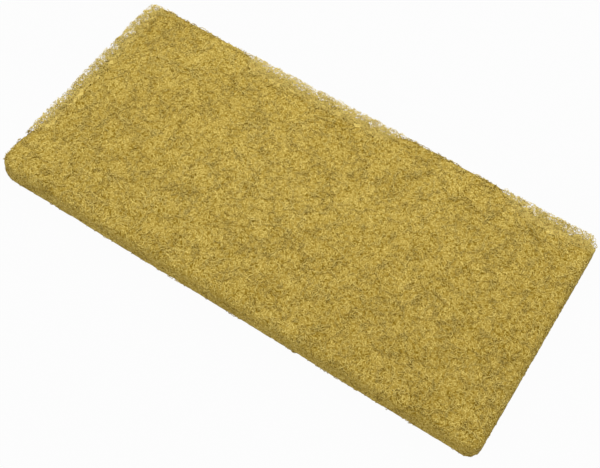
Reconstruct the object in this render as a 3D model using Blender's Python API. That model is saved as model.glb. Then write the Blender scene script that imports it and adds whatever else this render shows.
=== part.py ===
"""Hand scrubbing pad: one slab of open non-woven web, with soft edges and a pitted face.

The slab starts as a box cut into a net of cells, one cell for each opening in the web.
The lines of the net are the strands. They are crimped and wander, some of them end, and
each opening between them sinks by its own depth. The face that the pad rests on stays flat.
"""

import math
import random

import bmesh
import bpy
from mathutils import Vector, noise

# Driving sizes in metres
LENGTH = 0.254
WIDTH = 0.118
THICKNESS = 0.016
FRONT_LEFT_CORNER = 0.007
FRONT_RIGHT_CORNER = 0.0035
BACK_LEFT_CORNER = 0.004
BACK_RIGHT_CORNER = 0.0045
TOP_EDGE_RADIUS = 0.0028
FOOT_EDGE_RADIUS = 0.0014

# Web: the spacing of its strands, how far they zigzag and wander as shares of it, and how far
# at most as a share of the way to an edge of the slab
STRAND_SPACING = 0.0041
STRAND_CRIMP = 0.22
STRAND_WANDER = 0.34
TOWARDS_EDGE = 1 / 3
STRAND_DIP = 0.0004
PIT_DEPTH_LEAST = 0.0009
PIT_DEPTH_MOST = 0.0024
SWELL_DEPTH = 0.0005
SWELL_SPREAD = 0.022
STRAND_END_SHARE = 0.3
WEB_SEED = 27

# Finish
WEB_COLOUR = (0.435, 0.305, 0.062, 1.0)
WEB_ROUGHNESS = 0.75
NODE_NAME = "scrubbing_pad"
COLLECTION_NAME = "hand_scrubbing_pad"

AXES = (Vector((1, 0, 0)), Vector((0, 1, 0)), Vector((0, 0, 1)))
TOUCH = 1e-7
# What counts as a downward face, and as two faces on the same side of the slab
DOWNWARD = -0.5
ALIGNED = 0.99


def clear_scene():
    for old in list(bpy.data.objects):
        bpy.data.objects.remove(old, do_unlink=True)


def web_material():
    material = bpy.data.materials.new("web")
    material.use_nodes = True
    shader = material.node_tree.nodes["Principled BSDF"]
    shader.inputs["Base Color"].default_value = WEB_COLOUR
    shader.inputs["Roughness"].default_value = WEB_ROUGHNESS
    shader.inputs["Metallic"].default_value = 0.0
    return material


def cut_places(start, end, first_row, last_row):
    """Where the net crosses one axis: a row for each rounded edge, even cells between."""
    inner_start = start + first_row
    inner_end = end - last_row
    cells = max(1, round((inner_end - inner_start) / STRAND_SPACING))
    step = (inner_end - inner_start) / cells
    return [inner_start + step * index for index in range(cells + 1)]


def box_with_net():
    """The plain box, with its foot at z = 0, cut along each axis into cells, and its cuts."""
    bm = bmesh.new()
    bmesh.ops.create_cube(bm, size=1.0)
    bmesh.ops.scale(bm, vec=(LENGTH, WIDTH, THICKNESS), verts=bm.verts)
    bmesh.ops.translate(bm, vec=(0, 0, THICKNESS / 2), verts=bm.verts)
    places = (
        cut_places(-LENGTH / 2, LENGTH / 2, TOP_EDGE_RADIUS, TOP_EDGE_RADIUS),
        cut_places(-WIDTH / 2, WIDTH / 2, TOP_EDGE_RADIUS, TOP_EDGE_RADIUS),
        cut_places(0.0, THICKNESS, FOOT_EDGE_RADIUS, TOP_EDGE_RADIUS),
    )
    for axis, along_axis in zip(AXES, places):
        for place in along_axis:
            everything = bm.verts[:] + bm.edges[:] + bm.faces[:]
            bmesh.ops.bisect_plane(bm, geom=everything, dist=TOUCH, plane_co=axis * place, plane_no=axis)
    return bm, places


def inset_of(place):
    """How far a point of the plain box lies inside its plan outline."""
    return min(LENGTH / 2 - abs(place.x), WIDTH / 2 - abs(place.y))


def flatten_foot(bm):
    """Inside its rounded rim the foot is one flat face, so its net is dissolved."""
    downward = [face for face in bm.faces if face.normal.z < DOWNWARD]
    foot = [face for face in downward if inset_of(face.calc_center_median()) > TOP_EDGE_RADIUS]
    bmesh.ops.dissolve_faces(bm, faces=foot, use_verts=False)


def nearest_cut(cuts, place):
    return min(range(len(cuts)), key=lambda number: abs(cuts[number] - place))


def crimp(numbers, axis):
    """Neighbouring strands step to either side in turn, so that no strand runs straight."""
    crossed = sum(numbers) - numbers[axis]
    return STRAND_SPACING * STRAND_CRIMP * (1 if crossed % 2 else -1)


def let_strands_wander(bm, places, chance):
    """Slide each crossing within its own side of the box, never off an edge of it."""
    half = Vector((LENGTH / 2, WIDTH / 2, THICKNESS / 2))
    furthest = STRAND_SPACING * STRAND_WANDER
    for vert in bm.verts:
        numbers = [nearest_cut(cuts, place) for cuts, place in zip(places, vert.co[:])]
        from_middle = vert.co - Vector((0, 0, THICKNESS / 2))
        for axis in range(3):
            to_edge = half[axis] - abs(from_middle[axis])
            slide = crimp(numbers, axis) + chance.uniform(-furthest, furthest)
            if to_edge > TOUCH:
                vert.co[axis] += math.copysign(min(abs(slide), to_edge * TOWARDS_EDGE), slide)


def end_some_strands(bm, chance):
    """Join some neighbouring openings into one, each opening at most once."""
    joined = set()
    ended = []
    for edge in bm.edges:
        faces = edge.link_faces
        same_side = faces[0].normal.dot(faces[1].normal) > ALIGNED
        off_foot = min(face.normal.z for face in faces) > DOWNWARD
        if same_side and off_foot and chance.random() < STRAND_END_SHARE:
            if not joined.intersection(faces):
                joined.update(faces)
                ended.append(edge)
    bmesh.ops.dissolve_edges(bm, edges=ended, use_verts=False)


def round_off(along, across, radius, reach_along, reach_across):
    """Move a point of a square corner onto the arc of that radius, keeping its direction."""
    out_along = abs(along) - (reach_along - radius)
    out_across = abs(across) - (reach_across - radius)
    if out_along <= 0 or out_across <= 0:
        return along, across
    square_reach = max(out_along, out_across)
    pull = square_reach / math.hypot(out_along, out_across)
    return (
        math.copysign(reach_along - radius + out_along * pull, along),
        math.copysign(reach_across - radius + out_across * pull, across),
    )


def corner_radius(x, y):
    """The plan radius of the corner in whose quarter of the slab the point lies."""
    if y < 0:
        return FRONT_LEFT_CORNER if x < 0 else FRONT_RIGHT_CORNER
    return BACK_LEFT_CORNER if x < 0 else BACK_RIGHT_CORNER


def round_the_edges(bm):
    """Round the plan corners first, then the upper and lower edges all the way round."""
    middle = THICKNESS / 2
    for vert in bm.verts:
        x, y, z = vert.co
        inset = inset_of(vert.co)
        radius = TOP_EDGE_RADIUS if z > middle else FOOT_EDGE_RADIUS
        reach, height = round_off(WIDTH / 2 - inset, z - middle, radius, WIDTH / 2, middle)
        drawn_in = WIDTH / 2 - inset - reach
        x, y = round_off(x, y, corner_radius(x, y), LENGTH / 2, WIDTH / 2)
        length_left = (LENGTH / 2 - drawn_in) / (LENGTH / 2)
        width_left = (WIDTH / 2 - drawn_in) / (WIDTH / 2)
        vert.co = Vector((x * length_left, y * width_left, height + middle))


def swell(place):
    """How far the slow rise and fall of the web leaves a place below its full size."""
    return SWELL_DEPTH * (1 - noise.noise(place / SWELL_SPREAD)) / 2


def lower_strands(bm, chance):
    """Draw the crossings in along their normals, apart from those round the flat foot."""
    bm.normal_update()
    crossings = [(vert, vert.normal.copy()) for vert in bm.verts if vert.co.z > TOUCH]
    for vert, outward in crossings:
        vert.co -= outward * (STRAND_DIP * chance.random() + swell(vert.co))


def sink_openings(bm, chance):
    """Poke each opening and push its middle in, by a depth of its own."""
    openings = [face for face in bm.faces if max(vert.co.z for vert in face.verts) > TOUCH]
    middles = bmesh.ops.poke(bm, faces=openings, center_mode="MEAN")["verts"]
    bm.normal_update()
    pits = [(vert, vert.normal.copy()) for vert in middles]
    for vert, outward in pits:
        if min(edge.other_vert(vert).co.z for edge in vert.link_edges) < FOOT_EDGE_RADIUS:
            outward.z = min(outward.z, 0.0)
        vert.co -= outward * chance.uniform(PIT_DEPTH_LEAST, PIT_DEPTH_MOST)


def scrubbing_pad(material):
    chance = random.Random(WEB_SEED)
    bm, places = box_with_net()
    flatten_foot(bm)
    let_strands_wander(bm, places, chance)
    end_some_strands(bm, chance)
    round_the_edges(bm)
    lower_strands(bm, chance)
    sink_openings(bm, chance)
    mesh = bpy.data.meshes.new(NODE_NAME)
    bm.to_mesh(mesh)
    bm.free()
    mesh.materials.append(material)
    return bpy.data.objects.new(NODE_NAME, mesh)


def main():
    clear_scene()
    collection = bpy.data.collections.new(COLLECTION_NAME)
    bpy.context.scene.collection.children.link(collection)
    collection.objects.link(scrubbing_pad(web_material()))


main()
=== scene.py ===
# %% [markdown]
# # A hand scrubbing pad
#
# The real pad is one slab of non-woven web. Crimped synthetic fibres are laid down at random,
# a resin glues them where they cross, and the mat is cut into oblongs. So it has no skin: what
# looks like a face is the topmost of many strands, and the eye reaches a few millimetres
# into the web before the strands close up in front of it.
#
# Modelling every strand would take far too many faces, and a picture of strands on a box would
# look flat at its edges. This scene takes the middle way. A pitted core stands for the mass of
# strands that the eye can't follow, and real strands, as thin closed tubes, fill the outer
# layer all round it. At a loose edge there is nothing behind them, so light shows through.

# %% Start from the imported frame
import math

import bmesh
import bpy
import numpy as np
from mathutils import Matrix, Vector


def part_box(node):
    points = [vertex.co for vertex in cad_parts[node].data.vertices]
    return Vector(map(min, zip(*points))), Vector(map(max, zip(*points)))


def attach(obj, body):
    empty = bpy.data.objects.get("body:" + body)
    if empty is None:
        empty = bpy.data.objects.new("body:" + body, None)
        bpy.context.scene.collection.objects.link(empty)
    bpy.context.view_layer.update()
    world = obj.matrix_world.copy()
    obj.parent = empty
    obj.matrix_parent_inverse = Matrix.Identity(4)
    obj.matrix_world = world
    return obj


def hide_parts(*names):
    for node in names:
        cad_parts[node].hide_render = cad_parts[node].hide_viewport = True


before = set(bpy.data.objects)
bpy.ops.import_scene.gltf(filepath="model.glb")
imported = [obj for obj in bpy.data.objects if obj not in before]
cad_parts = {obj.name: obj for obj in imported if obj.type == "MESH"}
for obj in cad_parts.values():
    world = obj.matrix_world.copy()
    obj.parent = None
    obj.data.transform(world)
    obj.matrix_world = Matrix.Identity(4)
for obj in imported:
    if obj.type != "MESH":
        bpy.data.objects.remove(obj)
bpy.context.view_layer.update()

NODE = "scrubbing_pad"
BODY = "root"
MM_PER_M = 1000
pad_low, pad_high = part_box(NODE)
pad_size = pad_high - pad_low
pad_middle = (pad_low + pad_high) / 2
print("pad", [round(MM_PER_M * side, 1) for side in pad_size], "mm")

# %% [markdown]
# ## Where the photograph was taken from
#
# The four edges of the pad's top are straight, so they give the camera by themselves: its
# turn round the pad, its height, a slight roll, its distance and its lens. The camera is placed
# by those values, and not by hand, so each of them can be read and changed.

# %% Camera
LENS_MM = 61.85
TURN = math.radians(29.6)
ELEVATION = math.radians(59.9)
ROLL = math.radians(3.76)
DISTANCE = 0.4614
NEAREST_SEEN = 0.01
AIM = Vector((0.0121, -0.0150, pad_high.z))


def put_in_scene(name, data):
    """A new object, at the origin, for a camera, a lamp or a mesh."""
    thing = bpy.data.objects.new(name, data)
    bpy.context.scene.collection.objects.link(thing)
    return thing


def place_camera():
    """A camera looks along its own -Z, so it is tipped up, turned and then backed away."""
    tipped = Matrix.Rotation(TURN, 4, "Z") @ Matrix.Rotation(math.pi / 2 - ELEVATION, 4, "X")
    backward = tipped @ Vector((0, 0, 1))
    data = bpy.data.cameras.new("camera")
    data.lens = LENS_MM
    data.clip_start = NEAREST_SEEN
    camera = put_in_scene("camera", data)
    facing = tipped @ Matrix.Rotation(ROLL, 4, "Z")
    camera.matrix_world = Matrix.Translation(AIM + backward * DISTANCE) @ facing
    bpy.context.scene.camera = camera
    return camera


camera = place_camera()
print("camera at", [round(value, 3) for value in camera.matrix_world.translation])

# %% [markdown]
# ## A helper for node trees
#
# Both the strands and the finishes are node trees. Written out in full, each node takes five
# lines. This small class adds a node, sets it and fills its inputs in one call, with plain
# values or other nodes' outputs. Many of the trees read a noise. It swings about its middle
# and seldom goes far, so a ramp stretches the inner part of its swing.

# %% Node helper
MIDDLE = 0.5
SWING = (0.35, 0.65)
WIDE_SWING = (0.3, 0.7)
NUMBER_SOCKETS = {float: "NodeSocketFloat", int: "NodeSocketInt"}


class Graph:
    """A node tree that is filled by short calls."""

    def __init__(self, tree):
        self.tree = tree

    def link(self, start, end):
        self.tree.links.new(start, end)

    def add(self, kind, values=None, **settings):
        node = self.tree.nodes.new(kind)
        for name, value in settings.items():
            setattr(node, name, value)
        for key, value in (values or {}).items():
            if isinstance(value, bpy.types.NodeSocket):
                self.link(value, node.inputs[key])
            else:
                node.inputs[key].default_value = value
        return node

    def math(self, operation, first, second=0.0):
        return self.add("ShaderNodeMath", {0: first, 1: second}, operation=operation).outputs[0]

    def times(self, product, *factors):
        for factor in factors:
            product = self.math("MULTIPLY", product, factor)
        return product

    def vector(self, operation, first, second=(0, 0, 0)):
        node = self.add("ShaderNodeVectorMath", {0: first, 1: second}, operation=operation)
        return node.outputs["Value" if operation in ("DOT_PRODUCT", "LENGTH") else "Vector"]

    def scaled(self, vector, factor):
        values = {"Vector": vector, "Scale": factor}
        return self.add("ShaderNodeVectorMath", values, operation="SCALE").outputs["Vector"]

    def split(self, vector):
        return self.add("ShaderNodeSeparateXYZ", {0: vector}).outputs

    def ramp(self, value, start, end, low=0.0, high=1.0):
        """Low at start and high at end, with a soft change between them and none outside."""
        values = {"Value": value, "From Min": start, "From Max": end, "To Min": low, "To Max": high}
        return self.add("ShaderNodeMapRange", values, interpolation_type="SMOOTHSTEP").outputs[0]

    def blend(self, factor, first, second, mode="MIX"):
        """A Mix node has sockets for each kind of value. 6 and 7 are its colours, 2 the result."""
        values = {0: factor, 6: first, 7: second}
        return self.add("ShaderNodeMix", values, data_type="RGBA", blend_type=mode).outputs[2]

    def texture(self, kind, place, size, values, **settings):
        """Swings or cells that are about size metres across, a number or a node's output."""
        computed = isinstance(size, bpy.types.NodeSocket)
        scale = self.math("DIVIDE", 1.0, size) if computed else 1 / size
        return self.add(kind, {"Vector": place, "Scale": scale, **values}, **settings).outputs

    def noise(self, place, size, detail=2.0, dimensions="3D"):
        values = {"Detail": detail}
        return self.texture("ShaderNodeTexNoise", place, size, values, noise_dimensions=dimensions)

    def cells(self, place, size, dimensions="3D"):
        return self.texture("ShaderNodeTexVoronoi", place, size, {}, voronoi_dimensions=dimensions)

    def shift(self, noise):
        """A noise's colour as a shift that goes to all sides alike."""
        return self.vector("SUBTRACT", noise["Color"], (MIDDLE, MIDDLE, MIDDLE))

    def stored(self, geometry, name, value, kind="FLOAT"):
        """The geometry with a named value kept on its points."""
        values = {"Geometry": geometry, "Name": name, "Value": value}
        settings = {"data_type": kind, "domain": "POINT"}
        return self.add("GeometryNodeStoreNamedAttribute", values, **settings).outputs[0]


def new_group(name, kind, inputs, outputs):
    """A node group, as a Graph, with its input and output nodes.

    Each socket is named. An input is given by its default number or by its socket's type.
    """
    tree = bpy.data.node_groups.new(name, kind)
    for input_name, given in inputs.items():
        socket_type = NUMBER_SOCKETS.get(type(given), given)
        socket = tree.interface.new_socket(input_name, in_out="INPUT", socket_type=socket_type)
        if socket_type != given:
            socket.default_value = given
    for output_name, socket_type in outputs.items():
        tree.interface.new_socket(output_name, in_out="OUTPUT", socket_type=socket_type)
    graph = Graph(tree)
    return graph, graph.add("NodeGroupInput").outputs, graph.add("NodeGroupOutput").inputs


# %% [markdown]
# ## The web's colour
#
# In the photograph the web is a tan yellow. Strands near the surface catch the light and look
# like pale straw, and the openings between them are a deeper ochre, never black, because
# the fibres let light through. Nearly every fibre is mottled, clouds a centimetre across are a
# shade deeper, and broad patches are a little yellower where the resin lies thicker. One group
# makes that colour, so the core and the strands always agree. The material gives it a tone,
# from 0 for pale straw to 1 for tan, and a painted shade, from 0 at the surface to 1 for deep
# ochre. The deeper ochre of the openings is shade painted into the colour.

# %% Colour group
PALE_STRAW = (0.92, 0.745, 0.222, 1.0)
TAN_YELLOW = (0.51, 0.352, 0.064, 1.0)
# The deep ochre is painted shade for depth, pits and undersides, and the random clouds also lean
# towards it
SHADE_AND_CLOUD_OCHRE = (0.24, 0.150, 0.009, 1.0)
MOTTLE_SIZE = 0.0008
MOTTLE_DETAIL = 3.0
MOTTLE_TONE = 0.35
CLOUD_SIZE = 0.009
CLOUD_DEPTH = 0.06
PATCH_SIZE = 0.034
PATCH_SWING = (0.4, 0.65)
NO_TINT = (1.0, 1.0, 1.0, 1.0)
RESIN_TINT = (0.96, 0.95, 0.92, 1.0)


def colour_group():
    inputs = {"Place": "NodeSocketVector", "Tone": 0.5, "Depth": 0.0}
    outputs = {"Colour": "NodeSocketColor"}
    graph, given, result = new_group("web_colour", "ShaderNodeTree", inputs, outputs)
    mottle = graph.noise(given["Place"], MOTTLE_SIZE, detail=MOTTLE_DETAIL)[0]
    mottle = graph.ramp(mottle, *WIDE_SWING, -MOTTLE_TONE, MOTTLE_TONE)
    clouds = graph.ramp(graph.noise(given["Place"], CLOUD_SIZE)[0], *SWING, -CLOUD_DEPTH, CLOUD_DEPTH)
    patches = graph.ramp(graph.noise(given["Place"], PATCH_SIZE)[0], *PATCH_SWING)
    colour = graph.blend(graph.math("ADD", given["Tone"], mottle), PALE_STRAW, TAN_YELLOW)
    # Painted shade: the colour turns to ochre with the painted shade that it is given, and the random
    # clouds add to it
    colour = graph.blend(graph.math("ADD", given["Depth"], clouds), colour, SHADE_AND_CLOUD_OCHRE)
    resin = graph.blend(patches, NO_TINT, RESIN_TINT)
    graph.link(graph.blend(1.0, colour, resin, "MULTIPLY"), result["Colour"])
    return graph.tree


web_colour = colour_group()
print("colour group with", len(web_colour.nodes), "nodes")

# %% [markdown]
# ## The resin's grain
#
# The resin dries on the fibres as tiny beads, some of them glossy. They are far too small to
# model, so a second group gives a fine height for a Bump node and a roughness that
# goes with it. The beads are where the roughness drops.

# %% Grain group
BEAD_SIZE = 0.0006
BEAD_SWING = (0.45, 0.7)
ROUGH_FIBRE = 0.72
GLOSSY_BEAD = 0.42


def grain_group():
    inputs = {"Place": "NodeSocketVector"}
    outputs = {"Height": "NodeSocketFloat", "Roughness": "NodeSocketFloat"}
    graph, given, result = new_group("resin_grain", "ShaderNodeTree", inputs, outputs)
    beads = graph.noise(given["Place"], BEAD_SIZE)[0]
    graph.link(beads, result["Height"])
    graph.link(graph.ramp(beads, *BEAD_SWING, ROUGH_FIBRE, GLOSSY_BEAD), result["Roughness"])
    return graph.tree


resin_grain = grain_group()
print("grain group with", len(resin_grain.nodes), "nodes")

# %% [markdown]
# ## Strands drawn on the core
#
# Between the real strands the eye meets more strands, lying deeper. They are drawn on the core's
# own flat map. A smooth noise crosses its middle value along curly closed lines that are very
# like crimped fibres, so each layer of drawn strands is one noise. How far a point is from its
# line is the noise's distance from the middle over its slope, and that gives every
# line the same width. A line shows only where the next layer's noise is high, as a fibre
# shows only where it rises to the surface. Small pits of many sizes lie between them.

# %% Drawn strands group
# The size of each layer's curls, and how high the layer lies
DRAWN_LAYERS = ((0.0017, 0.9), (0.0013, 0.7), (0.0015, 0.5))
LAYER_SHIFT = (0.37, 0.59, 0.0)
LAYER_TURN = 1.1
HALF_WIDTH = 0.00009
# A line fades between these shares of its half width
LINE_EDGE = (0.7, 1.2)
SLOPE_STEP = 0.00008
SHOWS = (0.40, 0.50)
PIT_SPACING = 0.0011
PIT_WARP = 0.0005
WARP_SIZE = 0.0010
PIT_SHARE = 0.8
# The largest pit's radius as a share of their spacing, and the share of a pit that is its floor
LARGEST_PIT = 0.58
PIT_FLOOR = 0.7
CLUSTER_SIZE = 0.009
FEWEST_PITS = 0.5


def flat_noise(graph, place, size):
    return graph.noise(place, size, detail=0.0, dimensions="2D")


def curly_lines(graph, place, index, size):
    """One layer: its noise, and its lines, which are 1 in their middle and 0 away from them."""
    shifted = graph.vector("ADD", place, tuple(index * value for value in LAYER_SHIFT))
    turned = {"Vector": shifted, "Angle": index * LAYER_TURN}
    here = graph.add("ShaderNodeVectorRotate", turned, rotation_type="Z_AXIS").outputs[0]
    noise = flat_noise(graph, here, size)[0]
    squares = []
    for aside in ((SLOPE_STEP, 0.0, 0.0), (0.0, SLOPE_STEP, 0.0)):
        beside = flat_noise(graph, graph.vector("ADD", here, aside), size)[0]
        squares.append(graph.math("POWER", graph.math("SUBTRACT", beside, noise), 2.0))
    steepness = graph.math("SQRT", graph.math("ADD", *squares))
    from_middle = graph.math("ABSOLUTE", graph.math("SUBTRACT", noise, MIDDLE))
    steps_away = graph.math("DIVIDE", from_middle, steepness)
    half_width = HALF_WIDTH / SLOPE_STEP
    return noise, graph.ramp(steps_away, *(share * half_width for share in LINE_EDGE), 1.0, 0.0)


# The pits are painted shade: the core's finish darkens them to ochre, and they also sink its bump
def small_pits(graph, place):
    """Uneven pits at the middles of some Voronoi cells, more of them in some places."""
    wander = graph.scaled(graph.shift(flat_noise(graph, place, WARP_SIZE)), 2 * PIT_WARP)
    cells = graph.cells(graph.vector("ADD", place, wander), PIT_SPACING, dimensions="2D")
    chance = graph.add("ShaderNodeSeparateColor", {0: cells["Color"]}).outputs[0]
    radius = graph.ramp(chance, 1 - PIT_SHARE, 1.0, 0.0, LARGEST_PIT)
    pit = graph.ramp(cells["Distance"], graph.times(radius, PIT_FLOOR), radius, 1.0, 0.0)
    clusters = graph.ramp(flat_noise(graph, place, CLUSTER_SIZE)[0], *SWING, FEWEST_PITS, 1.0)
    return graph.times(pit, clusters)


def drawn_strands_group():
    inputs = {"Place": "NodeSocketVector"}
    outputs = {"Strand": "NodeSocketFloat", "Pit": "NodeSocketFloat"}
    graph, given, result = new_group("drawn_strands", "ShaderNodeTree", inputs, outputs)
    place = given["Place"]
    layers = []
    for index, (size, _) in enumerate(DRAWN_LAYERS):
        layers.append(curly_lines(graph, place, index, size))
    strand = 0.0
    for index, (_, level) in enumerate(DRAWN_LAYERS):
        shows = graph.ramp(layers[index - 1][0], *SHOWS)
        height = graph.times(layers[index][1], shows, level)
        strand = graph.math("MAXIMUM", height, strand)
    graph.link(strand, result["Strand"])
    graph.link(small_pits(graph, place), result["Pit"])
    return graph.tree


drawn_strands = drawn_strands_group()
print("drawn strands group with", len(drawn_strands.nodes), "nodes")

# %% [markdown]
# ## Two finishes from the same groups
#
# A strand knows its own tone and how deep it lies, because both are stored on it as it is made,
# and painted shade turns it from straw to tan and ochre with depth. The core is tan ground
# between its drawn strands, with painted shade all over it and more where it is sunk or
# pitted, and painted light near the loose edges, where the light comes in from the side too.
# Both materials put their values into the same groups.

# %% Materials
GLOSS = 0.04
STRAND_BUMP = {"Strength": 0.3, "Distance": 0.0002}
CORE_BUMP = {"Strength": 0.4, "Distance": 0.0004}
# Painted shade: a strand turns tan and ochre with its stored depth
SHADE_TURNS_TAN = 1.5
# Painted shade on the core: its ground, its sunk places and its pits turn ochre
GROUND_SHADE = 0.40
SUNK_SHADE = 0.15
PIT_SHADE = 0.9
# Painted light: the core pales near the loose edges, where light comes in from the side too
LOOSE_PAINTED_LIGHT = 0.8
PALES_FROM = (0.5, 0.75)
# The flat map's name, the space between its parts, and the side of the square that it fills,
# with two faces and three sides of the pad above each other
MAP_NAME = "OFBake"
MAP_SPACING = 0.003
map_row = pad_size.y + MAP_SPACING
map_strip = pad_size.z + MAP_SPACING
map_extent = 2 * map_row + 3 * map_strip


def web_material(name, bump_values):
    """The part that both finishes share. Returns its graph with the nodes that others feed."""
    material = bpy.data.materials.new(name)
    material.use_nodes = True
    graph = Graph(material.node_tree)
    shader = graph.tree.nodes["Principled BSDF"]
    place = graph.add("ShaderNodeTexCoord").outputs["Object"]
    colour = graph.add("ShaderNodeGroup", {"Place": place}, node_tree=web_colour)
    grain = graph.add("ShaderNodeGroup", {"Place": place}, node_tree=resin_grain).outputs
    bump = graph.add("ShaderNodeBump", {**bump_values, "Height": grain["Height"]})
    graph.link(colour.outputs["Colour"], shader.inputs["Base Color"])
    graph.link(grain["Roughness"], shader.inputs["Roughness"])
    graph.link(bump.outputs["Normal"], shader.inputs["Normal"])
    shader.inputs["Specular IOR Level"].default_value = GLOSS
    return material, graph, colour.inputs, bump.inputs


def read(graph, name):
    """A value that is stored on the piece's own points."""
    return graph.add("ShaderNodeAttribute", attribute_name=name).outputs["Fac"]


def strand_material():
    material, graph, colour, _ = web_material("strand_finish", STRAND_BUMP)
    # The stored depth is painted shade, and it also turns the strand's tone towards tan
    depth = read(graph, "depth")
    tone = graph.math("ADD", read(graph, "tone"), graph.times(depth, SHADE_TURNS_TAN))
    graph.link(depth, colour["Depth"])
    graph.link(tone, colour["Tone"])
    return material


def core_material():
    material, graph, colour, bump = web_material("core_finish", CORE_BUMP)
    flat_place = graph.scaled(graph.add("ShaderNodeUVMap", uv_map=MAP_NAME).outputs[0], map_extent)
    drawn = graph.add("ShaderNodeGroup", {"Place": flat_place}, node_tree=drawn_strands).outputs
    # Painted light: paler towards the loose edges
    closed = graph.ramp(read(graph, "loose"), *PALES_FROM, 1.0, 1 - LOOSE_PAINTED_LIGHT)
    bare = graph.times(graph.math("SUBTRACT", 1.0, drawn["Strand"]), closed)
    # Painted shade: the ground, the sunk places and the pits
    depth = graph.math("ADD", GROUND_SHADE, graph.times(read(graph, "sunk"), SUNK_SHADE))
    depth = graph.math("ADD", depth, graph.times(drawn["Pit"], PIT_SHADE))
    graph.link(graph.times(depth, bare), colour["Depth"])
    graph.link(bare, colour["Tone"])
    graph.link(graph.math("SUBTRACT", drawn["Strand"], drawn["Pit"]), bump["Height"])
    return material


strand_finish = strand_material()
core_finish = core_material()
print("finishes", strand_finish.name, "and", core_finish.name)

# %% [markdown]
# ## A smooth slab to work from
#
# The core, and the beds that the strands follow, are all the pad's own oblong drawn in by some
# amount. It is a cube with its upright edges and then its rims bevelled. The pad's corners
# aren't alike, so each of them has its own radius.

# %% Slab helper
CORNER_RADII = {(-1, -1): 0.007, (1, -1): 0.0060, (-1, 1): 0.004, (1, 1): 0.0045}
TOP_RIM = 0.0036
FOOT_RIM = 0.0028
LEAST_RADIUS = 0.001
BEVEL = {"segments": 6, "profile": 0.5, "affect": "EDGES"}
TOUCH = 1e-6


def mesh_object(name, bm):
    mesh = bpy.data.meshes.new(name)
    bm.to_mesh(mesh)
    bm.free()
    return put_in_scene(name, mesh)


def corner_edges(bm, side_x, side_y):
    corner = [vert for vert in bm.verts if vert.co.x * side_x > 0 and vert.co.y * side_y > 0]
    return [edge for edge in bm.edges if edge.verts[0] in corner and edge.verts[1] in corner]


def edges_at(bm, level):
    return [edge for edge in bm.edges if all(abs(vert.co.z - level) < TOUCH for vert in edge.verts)]


# The bevels leave the first faces in another order each run, so they are sorted by this
UNSETTLED_FACES = 33
ORDERING = Vector((-1, 10, 100))


def place_in_order(face):
    """The first faces go by where they lie, and the others keep their places."""
    if face.index < UNSETTLED_FACES:
        return face.calc_center_median().dot(ORDERING)
    return face.index


def smooth_slab(name, low_inset, high_inset):
    """The pad's oblong, drawn in by its own amount on each side, with rounded corners and rims."""
    low = pad_low + low_inset
    high = pad_high - high_inset
    bm = bmesh.new()
    bmesh.ops.create_cube(bm, size=1.0)
    bmesh.ops.scale(bm, vec=high - low, verts=bm.verts)
    bmesh.ops.translate(bm, vec=(low + high) / 2, verts=bm.verts)
    for sides, radius in CORNER_RADII.items():
        drawn_in = max(radius - max(low_inset.x, high_inset.x), LEAST_RADIUS)
        bmesh.ops.bevel(bm, geom=corner_edges(bm, *sides), offset=drawn_in, **BEVEL)
    for level, radius in ((high.z, TOP_RIM), (low.z, FOOT_RIM)):
        bmesh.ops.bevel(bm, geom=edges_at(bm, level), offset=radius, **BEVEL)
    bm.faces.index_update()
    bm.faces.sort(key=place_in_order)
    return mesh_object(name, bm)


def set_inputs(modifier, values):
    """A Geometry Nodes input is set by its socket's identifier, which is looked up by name."""
    for item in modifier.node_group.interface.items_tree:
        if item.item_type == "SOCKET" and item.in_out == "INPUT" and item.name in values:
            modifier[item.identifier] = values[item.name]


def baked(source, name):
    """The evaluated shape of an object as a plain mesh object, which takes its place."""
    depsgraph = bpy.context.evaluated_depsgraph_get()
    settings = {"preserve_all_data_layers": True, "depsgraph": depsgraph}
    mesh = bpy.data.meshes.new_from_object(source.evaluated_get(depsgraph), **settings)
    mesh.name = name
    bpy.data.objects.remove(source, do_unlink=True)
    mesh.calc_loop_triangles()
    print(name, len(mesh.loop_triangles), "triangles")
    return put_in_scene(name, mesh)


# %% [markdown]
# ## Where the web is open
#
# The front and the right edge were cut, and are closed and straight. The left edge and the back
# one are loose, but not all along: some stretches let daylight through and others are as closed
# as the cut edges. The core has to draw back exactly where the loose strands are, so one
# group gives both of them the same answer for any place, from 0 for closed to 1 for open.

# %% Openness group
OPEN_REACH = 0.014
# Where the left edge opens, along Y. Where the back one opens, closes and opens again, along X
LEFT_OPENS = (-0.046, -0.028)
BACK_OPENS = ((-0.072, -0.056), (0.030, 0.014), (0.072, 0.088))


def openness_group():
    inputs = {"Place": "NodeSocketVector"}
    outputs = dict.fromkeys(("Left", "Back", "Loose"), "NodeSocketFloat")
    graph, given, result = new_group("openness", "GeometryNodeTree", inputs, outputs)
    split = graph.split(given["Place"])
    near_left = graph.ramp(split["X"], pad_low.x + OPEN_REACH, pad_low.x)
    near_back = graph.ramp(split["Y"], pad_high.y - OPEN_REACH, pad_high.y)
    first, last, tip = (graph.ramp(split["X"], *span) for span in BACK_OPENS)
    left = graph.times(near_left, graph.ramp(split["Y"], *LEFT_OPENS))
    back = graph.times(near_back, graph.math("ADD", graph.times(first, last), tip))
    answers = {"Left": left, "Back": back, "Loose": graph.math("MAXIMUM", left, back)}
    for name, answer in answers.items():
        graph.link(answer, result[name])
    return graph.tree


openness = openness_group()
print("openness group with", len(openness.nodes), "nodes")

# %% [markdown]
# ## The core
#
# A few millimetres in, the strands overlap so much that they close up. The core is that closed
# mass. It lies just under the cut sides. Where an edge is loose it draws back in a ragged slope,
# most at the top, so that the eye sees past the outer strands there. A voxel remesh gives it an
# even net of small faces, and a Geometry Nodes tree then sinks an opening at each cell of a
# Voronoi pattern. Voronoi cells are uneven in size and place, as the openings in a web are, and
# the coordinates are warped first so that no opening is round.

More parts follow.
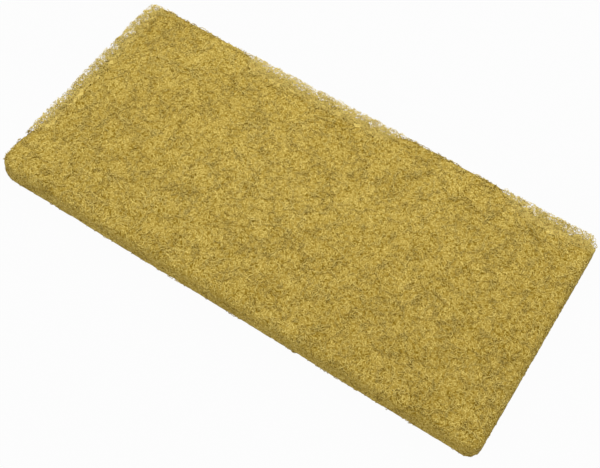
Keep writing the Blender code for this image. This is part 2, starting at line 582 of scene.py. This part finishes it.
# %% Relief of the core
CORE_LOW_INSET = Vector((0.0002, -0.0009, 0.0003))
CORE_HIGH_INSET = Vector((-0.0002, -0.0013, 0.0009))
CORE_FACET = 0.00115
# Where an opening's side starts and ends, in spacings from the middle of the opening
OPENING_SIDE = (0.15, 0.62)
# The shallowest opening's share of the depth, and the chances that make it so or full
SHALLOWEST = 0.25
DEPTH_CHANCES = (0.05, 0.9)
RAGGEDNESS = (0.5, 1.5)
LUMP_DETAIL = 3.0
RELIEF_INPUTS = {
    "Geometry": "NodeSocketGeometry",
    "Opening spacing": 0.0025,
    "Opening depth": 0.0004,
    "Warp": 0.0010,
    "Warp spacing": 0.0024,
    "Lump spacing": 0.009,
    "Lump height": 0.0002,
    "Open depth": 0.0045,
    "Ragged spacing": 0.0028,
    "Open foot": 0.3,
    "Open thinning": 0.05,
    "Material": "NodeSocketMaterial",
}


def position(graph):
    return graph.add("GeometryNodeInputPosition").outputs[0]


def normal(graph):
    return graph.add("GeometryNodeInputNormal").outputs[0]


def looseness_at(graph, place):
    return graph.add("GeometryNodeGroup", {"Place": place}, node_tree=openness).outputs


def end_tree(graph, geometry, material, end):
    """Every tree ends in real geometry, without instances, and its finish."""
    solid = graph.add("GeometryNodeRealizeInstances", {0: geometry}).outputs[0]
    finish = {"Geometry": solid, "Material": material}
    graph.link(graph.add("GeometryNodeSetMaterial", finish).outputs[0], end)


def openings(graph, given, place):
    """How far each place is sunk into an opening of the web, from 0 to 1."""
    wander = graph.shift(graph.noise(place, given["Warp spacing"], detail=1.0))
    warp = graph.scaled(wander, graph.times(given["Warp"], 2.0))
    cells = graph.cells(graph.vector("ADD", place, warp), given["Opening spacing"])
    chance = graph.add("FunctionNodeSeparateColor", {0: cells["Color"]}).outputs[0]
    opening = graph.ramp(cells["Distance"], *OPENING_SIDE, 1.0, 0.0)
    return graph.times(opening, graph.ramp(chance, *DEPTH_CHANCES, SHALLOWEST, 1.0))


def drawing_back(graph, given, place, looseness):
    """The way from the loose edges inwards: ragged, and less at the foot than at the top."""
    ragged = graph.noise(place, given["Ragged spacing"], detail=1.0)[0]
    raggedness = graph.ramp(ragged, *WIDE_SWING, *RAGGEDNESS)
    height = graph.split(place)["Z"]
    heights = {"From Min": pad_low.z, "From Max": pad_high.z, "To Min": given["Open foot"]}
    slope = graph.add("ShaderNodeMapRange", {"Value": height, **heights}).outputs[0]
    reach = graph.times(given["Open depth"], raggedness, slope)
    rightward = graph.times(looseness["Left"], reach)
    forward = graph.times(looseness["Back"], reach, -1.0)
    above_middle = graph.math("SUBTRACT", height, pad_middle.z)
    lower = graph.times(above_middle, looseness["Loose"], given["Open thinning"], -1.0)
    return graph.add("ShaderNodeCombineXYZ", {"X": rightward, "Y": forward, "Z": lower}).outputs[0]


def relief_tree():
    outputs = {"Geometry": "NodeSocketGeometry"}
    graph, given, result = new_group("web_relief", "GeometryNodeTree", RELIEF_INPUTS, outputs)
    place = position(graph)
    looseness = looseness_at(graph, place)
    sunk = openings(graph, given, place)
    lumps = graph.noise(place, given["Lump spacing"], detail=LUMP_DETAIL)[0]
    fall = graph.times(graph.ramp(lumps, *SWING, 1.0, 0.0), given["Lump height"])
    drop = graph.math("ADD", graph.times(sunk, given["Opening depth"]), fall)
    inward = graph.scaled(normal(graph), graph.times(drop, -1.0))
    offset = graph.vector("ADD", inward, drawing_back(graph, given, place, looseness))
    # The sunk amount is kept for the core's painted shade, and the looseness for its painted light
    known = graph.stored(graph.stored(given["Geometry"], "sunk", sunk), "loose", looseness["Loose"])
    moved = graph.add("GeometryNodeSetPosition", {"Geometry": known, "Offset": offset}).outputs[0]
    end_tree(graph, moved, given["Material"], result["Geometry"])
    return graph.tree


def make_core():
    core = smooth_slab("core_blank", CORE_LOW_INSET, CORE_HIGH_INSET)
    remesh = core.modifiers.new("even_net", "REMESH")
    remesh.mode = "VOXEL"
    remesh.voxel_size = CORE_FACET
    remesh.use_smooth_shade = True
    relief = core.modifiers.new("relief", "NODES")
    relief.node_group = relief_tree()
    set_inputs(relief, {"Material": core_finish})
    return baked(core, "web_core")


web_core = make_core()

# %% [markdown]
# ## The strands
#
# Each strand is a crimped fibre that wanders through the outer layer of the web. It could be
# drawn by hand as a curve, but there are thousands, so Geometry Nodes trees grow them. Points
# are scattered over the bed, which is the pad's smooth outer form, wherever its slope and
# looseness suit the region. Each becomes a row of points, numbered along the strand, which
# share the strand's own number and the way that the bed faces at its start.

# %% Rows of points


def between(graph, value, least, most):
    """Whether a value lies between two others."""
    above = graph.add("FunctionNodeCompare", {0: value, 1: least}, operation="GREATER_EQUAL")
    below = graph.add("FunctionNodeCompare", {0: value, 1: most}, operation="LESS_EQUAL")
    both = {0: above.outputs[0], 1: below.outputs[0]}
    return graph.add("FunctionNodeBooleanMath", both, operation="AND").outputs[0]


def rows_of_points(graph, given, bed):
    """The points of every strand and their number along it."""
    up = graph.split(normal(graph))["Z"]
    wanted = between(graph, up, given["Lowest slope"], given["Highest slope"])
    scatter = {"Mesh": bed, "Selection": wanted, "Density": given["Density"], "Seed": given["Seed"]}
    scattered = graph.add("GeometryNodeDistributePointsOnFaces", scatter).outputs
    loose = looseness_at(graph, position(graph))["Loose"]
    kept = between(graph, loose, given["Least open"], given["Most open"])
    unwanted = graph.add("FunctionNodeBooleanMath", {0: kept}, operation="NOT").outputs[0]
    removal = {"Geometry": scattered["Points"], "Selection": unwanted}
    homes = graph.add("GeometryNodeDeleteGeometry", removal, domain="POINT").outputs[0]
    homes = graph.stored(homes, "strand", graph.add("GeometryNodeInputIndex").outputs[0], "INT")
    homes = graph.stored(homes, "home_normal", scattered["Normal"], "FLOAT_VECTOR")
    copies = {"Geometry": homes, "Amount": given["Points"]}
    row = graph.add("GeometryNodeDuplicateElements", copies, domain="POINT").outputs
    return row["Geometry"], row["Duplicate Index"]


# %% [markdown]
# ## How a strand winds
#
# A noise that is read along the row gives each point a heading across the face and a slope into
# or out of it. An Accumulate Field node later adds up these steps, so the strand turns smoothly
# and never repeats. Each strand draws its first heading and its place on the noise by its own
# number, and so too how deep it starts, its tone and its thickness.

# %% Steps of a strand
HEADING_DRAW, START_DRAW, DEPTH_DRAW, TONE_DRAW, THICKNESS_DRAW = range(1, 6)
# A slanted direction, along which hardly any part of the bed faces
SLANTED = (0.31, 0.52, 0.79)
# How far along the noise a strand may start, and how much further its slope is read
NOISE_LENGTH = 900.0
SLOPE_FURTHER = 5000.0


def named(graph, name, kind="FLOAT"):
    return graph.add("GeometryNodeInputNamedAttribute", {"Name": name}, data_type=kind).outputs[0]


def chance_of(graph, strand, draw, low, high):
    """A random number that stays the same all along a strand. 2 and 3 are the number sockets."""
    values = {2: low, 3: high, "ID": strand, "Seed": draw}
    return graph.add("FunctionNodeRandomValue", values, data_type="FLOAT").outputs[1]


def wandering(graph, number, start, size):
    """A noise from -1 to 1, read along the strand, whose swings are about size steps long."""
    where = graph.math("ADD", graph.math("DIVIDE", number, size), start)
    values = {"W": where, "Scale": 1.0, "Detail": 1.0}
    noise = graph.add("ShaderNodeTexNoise", values, noise_dimensions="1D").outputs[0]
    return graph.times(graph.math("SUBTRACT", noise, MIDDLE), 2.0)


def steps_along(graph, given, number, strand):
    """Each step of the walk: a heading across the face and a slope into or out of it."""
    face = named(graph, "home_normal", "FLOAT_VECTOR")
    side = graph.vector("NORMALIZE", graph.vector("CROSS_PRODUCT", face, SLANTED))
    ahead = graph.vector("CROSS_PRODUCT", face, side)
    first = chance_of(graph, strand, HEADING_DRAW, 0.0, 2 * math.pi)
    start = chance_of(graph, strand, START_DRAW, 0.0, NOISE_LENGTH)
    further = graph.math("ADD", start, SLOPE_FURTHER)
    curl = graph.times(wandering(graph, number, start, given["Curl size"]), given["Curl"])
    slope = graph.times(wandering(graph, number, further, given["Curl size"]), given["Slope"])
    heading = graph.math("ADD", first, curl)
    sideways = graph.scaled(side, graph.math("COSINE", heading))
    onward = graph.scaled(ahead, graph.math("SINE", heading))
    across = graph.vector("ADD", sideways, onward)
    direction = graph.vector("NORMALIZE", graph.vector("ADD", across, graph.scaled(face, slope)))
    return graph.scaled(direction, given["Step"])


# %% [markdown]
# ## Keeping a strand in its layer
#
# A point that has strayed out of the outer layer is folded back into it. The nearest place on
# the bed gives its depth, and a ping-pong of that depth works like a mirror on both sides of
# the layer. At an edge of the pad the strands turn back in loops. The loose edges are a
# flat sheet instead, mirrored at its four sides, with rounded corners and a ragged outline,
# because that is how they hang over the drawn-back core.

# %% Folding into a layer or a sheet
SHEET_SHIFT = (4.0, 4.0, 0.0)


def folded_into_layer(graph, given, bed, place):
    """The place, folded back between the bed and the layer's depth, and its depth."""
    target = {"Target": bed, "Source Position": place}
    near = graph.add("GeometryNodeProximity", target, target_element="FACES").outputs
    sample = {"Mesh": bed, "Value": normal(graph), "Sample Position": place}
    facing = graph.add("GeometryNodeSampleNearestSurface", sample, data_type="FLOAT_VECTOR")
    outward = graph.vector("SUBTRACT", near["Position"], place)
    inside = graph.math("SIGN", graph.vector("DOT_PRODUCT", outward, facing.outputs[0]))
    folded = graph.math("PINGPONG", graph.times(near["Distance"], inside), given["Layer"])
    unit = graph.scaled(graph.vector("NORMALIZE", outward), inside)
    back = graph.scaled(unit, graph.times(folded, -1.0))
    place = graph.vector("ADD", near["Position"], back)
    return place, graph.math("DIVIDE", folded, given["Layer"])


def corners_rounded(graph, flat, low, high, radius):
    """The places that lie in a square corner, drawn in to the arc of that radius."""
    middle = graph.scaled(graph.vector("ADD", low, high), 0.5)
    from_middle = graph.vector("SUBTRACT", flat, middle)
    straight = graph.vector("SUBTRACT", graph.vector("SUBTRACT", high, middle), radius)
    beyond = graph.vector("SUBTRACT", graph.vector("ABSOLUTE", from_middle), straight)
    beyond = graph.vector("MULTIPLY", graph.vector("MAXIMUM", beyond), (1, 1, 0))
    split = graph.split(beyond)
    longer = graph.math("MAXIMUM", split["X"], split["Y"])
    pull = graph.math("SUBTRACT", graph.math("DIVIDE", longer, graph.vector("LENGTH", beyond)), 1.0)
    outward = graph.vector("MULTIPLY", beyond, graph.vector("SIGN", from_middle))
    return graph.vector("ADD", flat, graph.scaled(outward, pull))


def folded_into_sheet(graph, given, bed, place):
    """The same for a flat sheet under the bed's top, mirrored at its sides."""
    box = graph.add("GeometryNodeBoundBox", {"Geometry": bed}).outputs
    low, high, spot = (graph.split(end) for end in (box["Min"], box["Max"], place))
    folded = {}
    for axis in "XY":
        beyond = graph.math("SUBTRACT", spot[axis], low[axis])
        mirrored = graph.math("PINGPONG", beyond, graph.math("SUBTRACT", high[axis], low[axis]))
        folded[axis] = graph.math("ADD", low[axis], mirrored)
    below = graph.math("PINGPONG", graph.math("SUBTRACT", high["Z"], spot["Z"]), given["Layer"])
    folded["Z"] = graph.math("SUBTRACT", high["Z"], below)
    flat = graph.add("ShaderNodeCombineXYZ", folded).outputs[0]
    flat = corners_rounded(graph, flat, box["Min"], box["Max"], given["Corner"])
    ragged = graph.shift(graph.noise(flat, given["Ragged spacing"], detail=1.0))
    aside = graph.scaled(graph.vector("MULTIPLY", ragged, SHEET_SHIFT), given["Ragged"])
    return graph.vector("ADD", flat, aside), graph.math("DIVIDE", below, given["Layer"])


# %% [markdown]
# ## A body for each strand
#
# A row of points becomes a curve, and a three-sided profile gives it a body. Three sides are
# enough, because a strand is narrower than a pixel of the photograph. The underside of each
# strand is painted deeper, as painted shade, since only its own web faces it. How far along
# and around the strand each point lies is kept for its map.

# %% Strand trees
STRAND_PROFILE_SIDES = 3
# How far upwards a strand's surface faces where its painted underside shade starts, and where it is
# full
TURNS_UNDER = (0.8, -0.3)
STRAND_INPUTS = {
    "Bed": "NodeSocketGeometry",
    "Density": 50000.0,
    "Lowest slope": -2.0,
    "Highest slope": 2.0,
    "Least open": -1.0,
    "Most open": 2.0,
    "Points": 20,
    "Step": 0.00070,
    "Curl": 4.8,
    "Curl size": 4.4,
    "Slope": 2.4,
    "Layer": 0.0015,
    "Thinnest": 0.00011,
    "Thickest": 0.00018,
    "Palest": -0.5,
    "Darkest": 0.2,
    "Shade": 0.4,
    "Underside shade": 0.65,
    "Corner": 0.0055,
    "Ragged": 0.0005,
    "Ragged spacing": 0.0035,
    "Seed": 1,
    "Material": "NodeSocketMaterial",
}


def strand_bodies(graph, given, lines, strand):
    """A three-sided tube round each line, numbered along and around it."""
    tone = chance_of(graph, strand, TONE_DRAW, given["Palest"], given["Darkest"])
    along = graph.add("GeometryNodeSplineParameter").outputs["Factor"]
    lines = graph.stored(graph.stored(lines, "tone", tone), "along", along)
    circle = {"Resolution": STRAND_PROFILE_SIDES, "Radius": 1.0}
    ring = graph.add("GeometryNodeCurvePrimitiveCircle", circle).outputs[0]
    ring = graph.stored(ring, "around", graph.add("GeometryNodeInputIndex").outputs[0])
    thickness = chance_of(graph, strand, THICKNESS_DRAW, given["Thinnest"], given["Thickest"])
    values = {"Curve": lines, "Profile Curve": ring, "Scale": thickness, "Fill Caps": True}
    body = graph.add("GeometryNodeCurveToMesh", values).outputs[0]
    # Painted shade on each strand's underside
    underside_shade = graph.ramp(graph.split(normal(graph))["Z"], *TURNS_UNDER, 0.0, given["Underside shade"])
    return graph.stored(body, "depth", graph.math("ADD", named(graph, "depth"), underside_shade))


def strand_tree(name, fold):
    """A tree that grows strands over a bed. The fold is what keeps them in their layer."""
    outputs = {"Strands": "NodeSocketGeometry"}
    graph, given, result = new_group(name, "GeometryNodeTree", STRAND_INPUTS, outputs)
    bed = given["Bed"]
    rows, number = rows_of_points(graph, given, bed)
    strand = named(graph, "strand", "INT")
    steps = {"Value": steps_along(graph, given, number, strand), "Group ID": strand}
    walk = graph.add("GeometryNodeAccumulateField", steps, data_type="FLOAT_VECTOR", domain="POINT")
    home_depth = graph.times(chance_of(graph, strand, DEPTH_DRAW, 0.0, given["Layer"]), -1.0)
    lowered = graph.scaled(named(graph, "home_normal", "FLOAT_VECTOR"), home_depth)
    home = graph.vector("ADD", position(graph), lowered)
    walked = graph.vector("ADD", home, walk.outputs["Trailing"])
    laid = graph.add("GeometryNodeSetPosition", {"Geometry": rows, "Position": walked}).outputs[0]
    place, depth = fold(graph, given, bed, position(graph))
    # The depth in the layer, times Shade, is kept as painted shade for the finish
    laid = graph.stored(laid, "depth", graph.times(depth, given["Shade"]))
    folded = graph.add("GeometryNodeSetPosition", {"Geometry": laid, "Position": place}).outputs[0]
    grouped = {"Points": folded, "Curve Group ID": strand}
    lines = graph.add("GeometryNodePointsToCurves", grouped).outputs[0]
    bodies = strand_bodies(graph, given, lines, strand)
    smooth = graph.add("GeometryNodeSetShadeSmooth", {"Geometry": bodies}).outputs[0]
    end_tree(graph, smooth, given["Material"], result["Strands"])
    return graph.tree


web_strands = strand_tree("web_strands", folded_into_layer)
sheet_strands = strand_tree("sheet_strands", folded_into_sheet)
print("strand trees with", len(web_strands.nodes), "and", len(sheet_strands.nodes), "nodes")

# %% [markdown]
# ## Growing them, region by region
#
# The two faces and the cut sides need a shallow layer, because the core lies close behind. The
# loose sides need a deep one, and over them hangs a sheet of thin strands that lets daylight
# through, painted pale as painted light. Each region is a piece of its own, grown with its own
# values and its own seed. The upper face has three pieces, only to keep each of them small.

# %% Strands of each region
def insets(low, high):
    """Millimetres that a bed is drawn in: left, front and foot, then right, back and top."""
    return tuple(Vector(side) / MM_PER_M for side in (low, high))


STEEP = 0.6
TOP_BED = insets((0.2, -0.8, 0.2), (-0.2, -1.3, 0.1))
FOOT_BED = insets((1.4, 1.2, 0.2), (1.2, 1.4, 0.1))
CLOSED_BED = insets((0.0, -1.2, 0.6), (-0.2, -1.6, 0.1))
LOOSE_TOP_BED = insets((1.2, 0.0, 0.4), (1.0, 0.0, 0.0))
LOOSE_SIDE_BED = insets((-0.1, 0.0, 0.4), (0.0, -0.9, 0.0))
UPPER = {"bed": TOP_BED, "Density": 30000.0, "Lowest slope": STEEP, "Most open": 0.55, "Slope": 1.5}
SIDE = {"Lowest slope": -STEEP, "Highest slope": STEEP}
# The loose strands are painted pale, as painted light where daylight comes through, with less painted
# underside shade
LOOSE = {"Thinnest": 0.00008, "Thickest": 0.00012, "Palest": -0.8, "Underside shade": 0.3}
REGIONS = {
    "upper_strands_1": {**UPPER, "Seed": 11},
    "upper_strands_2": {**UPPER, "Seed": 12},
    "upper_strands_3": {**UPPER, "Seed": 16},
    "under_strands": {
        "bed": FOOT_BED,
        "Density": 14000.0,
        "Highest slope": -STEEP,
        "Layer": 0.0007,
        "Seed": 13,
    },
    "closed_side_strands": {
        **SIDE,
        "bed": CLOSED_BED,
        "Density": 60000.0,
        "Most open": 0.4,
        "Layer": 0.0010,
        "Seed": 14,
    },
    "loose_upper_strands": {
        **LOOSE,
        "bed": LOOSE_TOP_BED,
        "tree": sheet_strands,
        "Density": 1050000.0,
        "Lowest slope": STEEP,
        "Least open": 0.50,
        "Layer": 0.0012,
        "Points": 16,
        "Step": 0.0005,
        "Darkest": 0.0,
        "Shade": 0.0,
        "Seed": 15,
    },
    "loose_side_strands": {
        **LOOSE,
        **SIDE,
        "bed": LOOSE_SIDE_BED,
        "Density": 260000.0,
        "Least open": 0.35,
        "Layer": 0.0040,
        "Slope": 3.0,
        "Seed": 17,
    },
}


def grow_strands(name, values):
    bed = smooth_slab(name + "_bed", *values["bed"])
    growth = bed.modifiers.new("strands", "NODES")
    growth.node_group = values.get("tree", web_strands)
    set_inputs(growth, {**values, "Material": strand_finish})
    return baked(bed, name)


strands = [grow_strands(name, values) for name, values in REGIONS.items()]

# %% [markdown]
# ## One straight fibre
#
# Near the right end of the pad a single darker fibre lies straight across the curly ones. It is a
# plain thin rod, closed at both ends, that rests on the web between two places.

# %% Straight fibre
FIBRE_ENDS = ((0.0969, 0.0459), (0.1045, 0.0416))
FIBRE_RADIUS = 0.00028
FIBRE_SIDES = 6
FIBRE_BELOW_TOP = 0.0003
# Here the depth value only gives this fibre its own darker colour
FIBRE_LOOK = {"tone": 1.0, "depth": 0.8}


def make_straight_fibre():
    start, end = (Vector((x, y, pad_high.z - FIBRE_BELOW_TOP)) for x, y in FIBRE_ENDS)
    turned = (end - start).to_track_quat("Z", "Y").to_matrix().to_4x4()
    place = Matrix.Translation((start + end) / 2) @ turned
    sizes = {"radius1": FIBRE_RADIUS, "radius2": FIBRE_RADIUS, "depth": (end - start).length}
    bm = bmesh.new()
    bmesh.ops.create_cone(bm, segments=FIBRE_SIDES, cap_ends=True, matrix=place, **sizes)
    fibre = mesh_object("straight_fibre", bm)
    fibre.data.materials.append(strand_finish)
    for name, value in FIBRE_LOOK.items():
        stored = fibre.data.attributes.new(name, "FLOAT", "POINT")
        stored.data.foreach_set("value", [value] * len(fibre.data.vertices))
    print("straight fibre", round(MM_PER_M * (end - start).length, 1), "mm long")
    return fibre


straight_fibre = make_straight_fibre()

# %% [markdown]
# ## A flat map for each piece
#
# Where the pad is used elsewhere, its colours can be painted onto flat maps. A strand is a long
# thin tube, so it is slit along its length and laid out as a strip, one strip for each cell
# of a grid. The core is laid out as the six sides of a box, and its drawn strands lie on
# that map. The straight fibre needs no map of its own.

# %% Maps
MAP_COLUMNS = 8
STRIP_SHARE = (0.94, 0.84)
CAP_WIDTH = 0.012
ONE_SIDE_AND_A_HALF = 1.5
FAR_FROM_SIDE = 0.004


def numbers_of(collection, name, kind=np.float32, width=1):
    values = np.empty(len(collection) * width, kind)
    collection.foreach_get(name, values)
    return values.reshape(-1, width) if width > 1 else values


def taken_attribute(mesh, name, kind=np.float32):
    """A stored value as an array. It is taken off the mesh, since only the map needs it."""
    values = numbers_of(mesh.attributes[name].data, "value", kind)
    mesh.attributes.remove(mesh.attributes[name])
    return values


def write_map(mesh, places):
    layer = mesh.uv_layers.new(name=MAP_NAME)
    layer.data.foreach_set("uv", places.astype(np.float32).ravel())


def map_strands(piece):
    """Each strand's strip. The face that spans the seam has its first edge moved to the end."""
    mesh = piece.data
    corner = numbers_of(mesh.loops, "vertex_index", np.int32)
    along = taken_attribute(mesh, "along")[corner]
    around = taken_attribute(mesh, "around")[corner]
    strand = taken_attribute(mesh, "strand", np.int32)[corner]
    mesh.attributes.remove(mesh.attributes["home_normal"])
    first = numbers_of(mesh.polygons, "loop_start", np.int32)
    sides = numbers_of(mesh.polygons, "loop_total", np.int32)
    face = np.repeat(np.arange(len(first)), sides)
    spans = np.maximum.reduceat(around, first) - np.minimum.reduceat(around, first)
    on_seam = (spans > ONE_SIDE_AND_A_HALF)[face]
    on_cap = (sides == STRAND_PROFILE_SIDES)[face]
    around[on_seam & ~on_cap & (around < MIDDLE)] = STRAND_PROFILE_SIDES
    outward = np.where(along > MIDDLE, CAP_WIDTH, -CAP_WIDTH) * (1 + np.abs(around - 1))
    along = along + np.where(on_cap, outward, 0.0)
    cell = np.unique(strand, return_inverse=True)[1]
    rows = -(-(cell.max() + 1) // MAP_COLUMNS)
    wide, tall = STRIP_SHARE
    u = (cell % MAP_COLUMNS + MIDDLE + wide * (along - MIDDLE)) / MAP_COLUMNS
    v = (cell // MAP_COLUMNS + MIDDLE - tall * (around / STRAND_PROFILE_SIDES - MIDDLE)) / rows
    write_map(mesh, np.stack([u, v], 1))
    print(piece.name, "map of", cell.max() + 1, "strands in", rows, "rows")


def map_core(piece):
    """Each face goes to the side of the box that it faces and lies near."""
    mesh = piece.data
    place = numbers_of(mesh.vertices, "co", width=3) - np.array(pad_middle)
    centre = numbers_of(mesh.polygons, "center", width=3) - np.array(pad_middle)
    facing = numbers_of(mesh.polygons, "normal", width=3)
    length = pad_size.x
    row, strip = map_row, map_strip
    x, y, z = np.eye(3)
    # Which way each side faces, what runs across and up its part of the map, and where that is
    box_sides = (
        (z, x, y, (length / 2, row / 2)),
        (-z, x, -y, (length / 2, row * 3 / 2)),
        (-y, x, z, (length / 2, row * 2 + strip / 2)),
        (y, -x, z, (length / 2, row * 2 + strip * 3 / 2)),
        (-x, -y, z, (row / 2, row * 2 + strip * 5 / 2)),
        (x, y, z, (row * 3 / 2, row * 2 + strip * 5 / 2)),
    )
    half = np.array(pad_size) / 2
    likeness = []
    for out, *_ in box_sides:
        from_side = half @ np.abs(out) - centre @ out
        likeness.append(facing @ out - from_side / FAR_FROM_SIDE)
    side = np.argmax(likeness, 0)
    side_of_corner = np.repeat(side, numbers_of(mesh.polygons, "loop_total", np.int32))
    local = place[numbers_of(mesh.loops, "vertex_index", np.int32)]
    laid_out = []
    for _, across, up, middle in box_sides:
        laid_out.append(np.stack([local @ across, local @ up], 1) + middle)
    write_map(mesh, np.choose(side_of_corner[:, None], laid_out) / map_extent)
    print(piece.name, "map with", np.bincount(side, minlength=len(box_sides)), "faces to a side")


map_core(web_core)
for piece in strands:
    map_strands(piece)

# %% [markdown]
# ## Joining the pieces to the frame
#
# Every piece rides on the pad's one body. The core stands for the CAD solid, which is hidden.

# %% Ride on the frame
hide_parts(NODE)
for piece in [web_core, straight_fibre, *strands]:
    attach(piece, BODY)
print(len(strands) + 2, "pieces ride on", BODY)

# %% [markdown]
# ## Floor and light
#
# The photograph is a catalogue picture on pure white. A bright floor would need so much light that
# the pad would bleach, so the floor is plain grey to the light and nearly white to the camera:
# the Light Path node tells the two apart. It keeps a little of its real shading, and with it
# the pad's soft shadow.

# %% Floor
FLOOR_HALF = 3.0
FLOOR_COLOUR = (0.24, 0.24, 0.24, 1.0)
FLOOR_ROUGHNESS = 0.9
SEEN_WHITE = 0.97


def sees_directly(graph):
    """1 for the camera's own rays and for mirrored and transmitted ones, otherwise 0."""
    path = graph.add("ShaderNodeLightPath").outputs
    mirrored = graph.math("MAXIMUM", path["Is Glossy Ray"], path["Is Transmission Ray"])
    return graph.math("MAXIMUM", path["Is Camera Ray"], mirrored)


def floor_material():
    material = bpy.data.materials.new("floor_finish")
    material.use_nodes = True
    graph = Graph(material.node_tree)
    shader = graph.tree.nodes["Principled BSDF"]
    shader.inputs["Base Color"].default_value = FLOOR_COLOUR
    shader.inputs["Roughness"].default_value = FLOOR_ROUGHNESS
    white = graph.add("ShaderNodeEmission", {"Color": NO_TINT, "Strength": 1.0})
    share = graph.times(sees_directly(graph), SEEN_WHITE)
    mix = graph.add("ShaderNodeMixShader", {0: share, 1: shader.outputs[0], 2: white.outputs[0]})
    graph.link(mix.outputs[0], graph.tree.nodes["Material Output"].inputs["Surface"])
    return material


def make_floor():
    bm = bmesh.new()
    bmesh.ops.create_grid(bm, x_segments=1, y_segments=1, size=FLOOR_HALF)
    floor = mesh_object("floor", bm)
    floor.location.z = pad_low.z
    floor.data.materials.append(floor_material())
    return floor


floor = make_floor()
print("floor at", round(MM_PER_M * floor.location.z, 2), "mm")

# %% [markdown]
# ## Light
#
# The light is soft and nearly even: a white sky, a broad lamp behind the pad and a little to its
# left, where the pad is brightest in the photograph, and a far, low one in front, so that the
# front side isn't much darker than the top.

# %% Light
WORLD_STRENGTH = 0.62
LAMPS = {
    "key": {"place": Vector((-0.04, 0.17, 0.32)), "size": 0.5, "power": 0.95},
    "front_fill": {"place": Vector((0.10, -1.00, 0.42)), "size": 1.0, "power": 3.7},
}


def make_sky():
    """White where it is seen, and plain light for the rest."""
    world = bpy.data.worlds.new("studio")
    world.use_nodes = True
    bpy.context.scene.world = world
    graph = Graph(world.node_tree)
    background = graph.tree.nodes["Background"].inputs
    background["Color"].default_value = NO_TINT
    strength = graph.ramp(sees_directly(graph), 0.0, 1.0, WORLD_STRENGTH, 1.0)
    graph.link(strength, background["Strength"])


def add_lamp(name, place, size, power):
    data = bpy.data.lights.new(name, "AREA")
    data.shape = "DISK"
    data.size = size
    data.energy = power
    lamp = put_in_scene(name, data)
    lamp.location = place
    lamp.rotation_euler = (pad_middle - place).to_track_quat("-Z", "Y").to_euler()
    print(name, "lamp of", power, "W at", [round(value, 2) for value in place])


make_sky()
for name, values in LAMPS.items():
    add_lamp(name, **values)
bpy.context.scene.view_settings.view_transform = "Standard"
